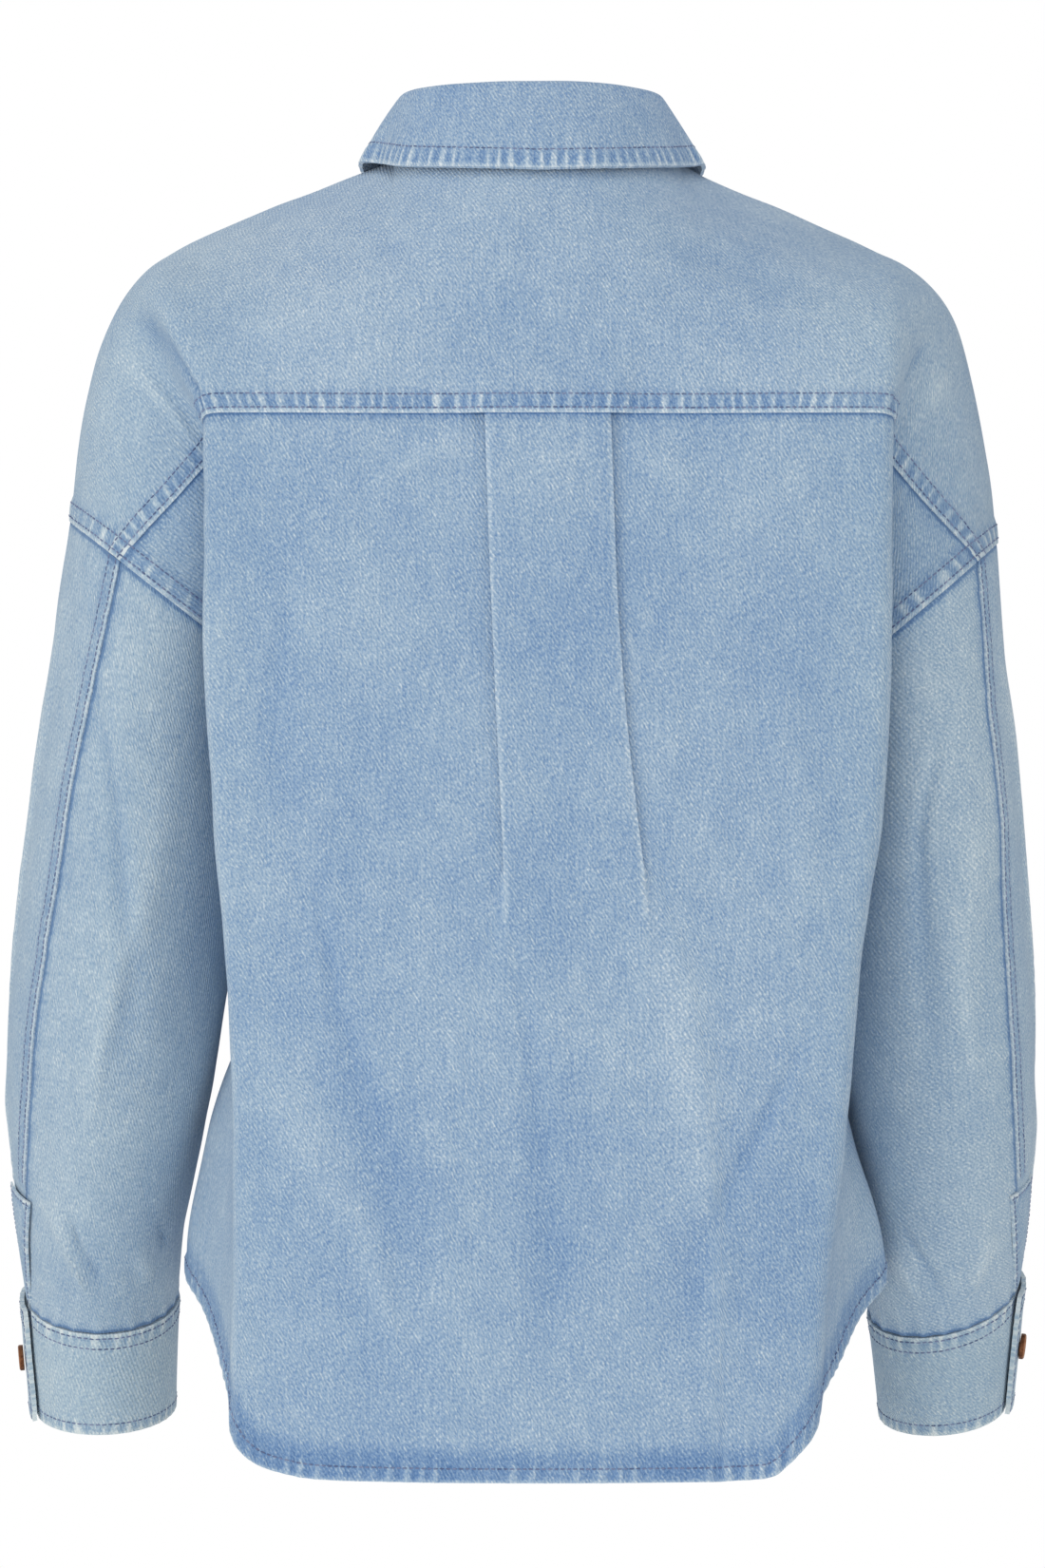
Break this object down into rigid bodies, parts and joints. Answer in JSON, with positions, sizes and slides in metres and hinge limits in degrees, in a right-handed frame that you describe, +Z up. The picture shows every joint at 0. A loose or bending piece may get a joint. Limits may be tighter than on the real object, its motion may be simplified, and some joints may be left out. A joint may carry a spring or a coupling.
{
  "type": "denim shirt",
  "caption": "Oversized long-sleeved denim shirt with a back yoke, box pleat, point collar, buttoned cuffs and a curved hem, kept open and hollow as worn",
  "frame": {"origin": "midway between the two points where the shoulders meet the neck, where the wearer's shoulders carry the shirt", "axes": "+Z up, -Y out of the button front, +X to the wearer's left"},
  "size_m": [0.5546, 0.2616, 0.7325],
  "materials": {
    "denim": "light-wash cotton twill, soft and matt",
    "button": "antique copper, satin"
  },
  "bodies": {
    "root": {"yoke": "denim", "back": "denim", "front_left": "denim", "front_right": "denim", "sleeve_left_outer": "denim", "sleeve_left_under": "denim", "sleeve_right_outer": "denim", "sleeve_right_under": "denim", "cuff_left": "denim", "cuff_right": "denim", "collar_stand": "denim", "collar": "denim", "placket_left": "denim", "placket_right": "denim", "button_front_1": "button", "button_front_2": "button", "button_front_3": "button", "button_front_4": "button", "button_front_5": "button", "button_front_6": "button", "button_front_7": "button", "button_collar": "button", "button_cuff_left": "button", "button_cuff_right": "button"}
  },
  "joints": []
}
